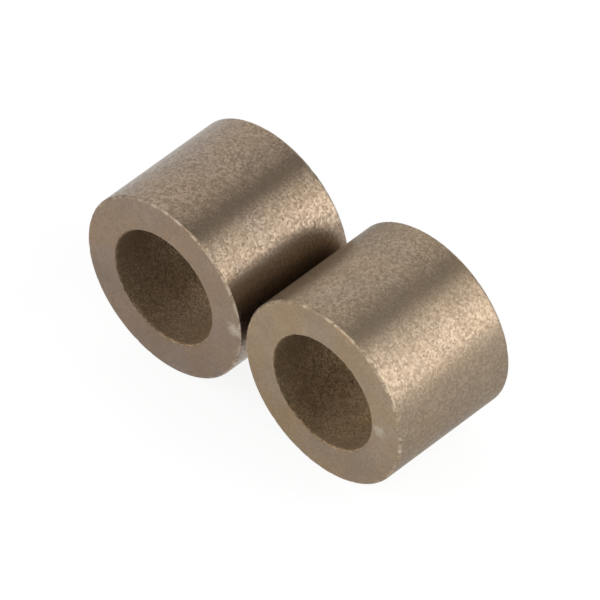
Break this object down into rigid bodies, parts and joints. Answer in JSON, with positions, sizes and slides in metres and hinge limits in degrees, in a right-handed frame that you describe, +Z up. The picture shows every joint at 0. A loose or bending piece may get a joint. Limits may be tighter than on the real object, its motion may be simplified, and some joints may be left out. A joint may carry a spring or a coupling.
{
  "type": "sleeve bushing",
  "caption": "Plain cylindrical sleeve bushings of porous sintered bronze, loose side by side; each carries a shaft in its bore and presses into a housing.",
  "frame": {"origin": "midway between the two bushings, at mid length, on the surface that they lie on", "axes": "+Z up, +Y along both bores from the front end faces to the back ones, +X across the pair from the left bushing to the right one"},
  "size_m": [0.0326, 0.012, 0.016],
  "materials": {
    "sintered_bronze": "satin"
  },
  "bodies": {
    "left_bushing": {"left_bushing": "sintered_bronze"},
    "right_bushing": {"right_bushing": "sintered_bronze"}
  },
  "joints": [
    {"name": "bushing_parting", "type": "slide", "parent": "left_bushing", "child": "right_bushing", "axis": [1, 0, 0], "range_m": [0, 0.02]}
  ]
}
